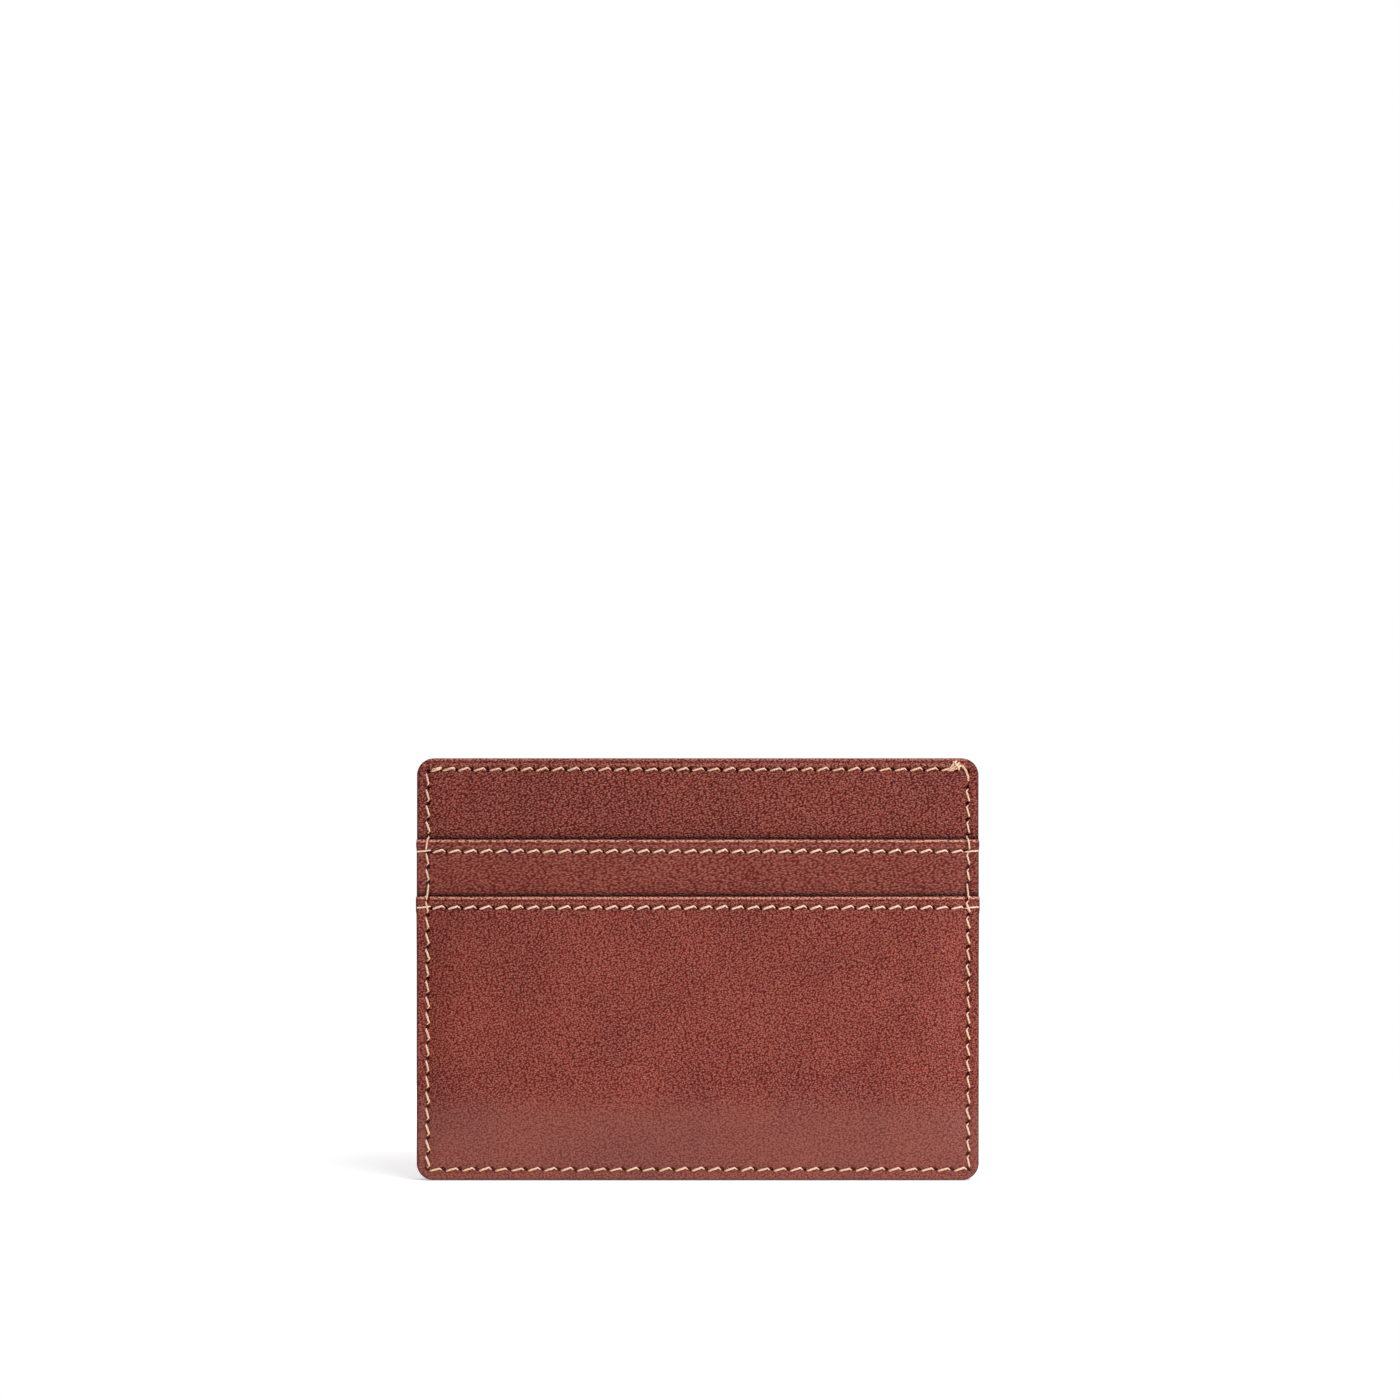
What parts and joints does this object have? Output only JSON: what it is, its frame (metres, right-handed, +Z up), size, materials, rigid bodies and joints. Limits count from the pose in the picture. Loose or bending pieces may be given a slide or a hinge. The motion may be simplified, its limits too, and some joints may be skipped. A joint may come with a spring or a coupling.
{
  "type": "card holder",
  "caption": "Slim upright leather card holder with stepped card slots on both faces, a central pocket open at the top and a stitched edge.",
  "frame": {"origin": "middle of the bottom edge, on the surface that the holder stands on", "axes": "+X across the width, to the right as the front is seen; +Y through the thickness, from the front to the rear; +Z up, towards the open top"},
  "size_m": [0.1, 0.0066, 0.075],
  "materials": {
    "leather": "satin red-brown glazed calf, burnished edges",
    "stiffener": "bonded leather board, matt",
    "lining": "brown textile lining, fine weave",
    "thread": "waxed beige sewing thread"
  },
  "bodies": {
    "root": {"front_centre_lining": "lining", "front_stiffener": "stiffener", "front_main_panel": "leather", "front_upper_slot_lining": "lining", "front_upper_slot_leather": "leather", "front_lower_slot_lining": "lining", "front_lower_slot_leather": "leather", "front_top_edge_stitching": "thread", "front_upper_mouth_stitching": "thread", "front_lower_mouth_stitching": "thread", "front_slot_base_stitching": "thread", "rear_centre_lining": "lining", "rear_stiffener": "stiffener", "rear_main_panel": "leather", "rear_upper_slot_lining": "lining", "rear_upper_slot_leather": "leather", "rear_lower_slot_lining": "lining", "rear_lower_slot_leather": "leather", "rear_top_edge_stitching": "thread", "rear_upper_mouth_stitching": "thread", "rear_lower_mouth_stitching": "thread", "rear_slot_base_stitching": "thread", "perimeter_needle_thread": "thread", "perimeter_bobbin_thread": "thread"}
  },
  "joints": []
}
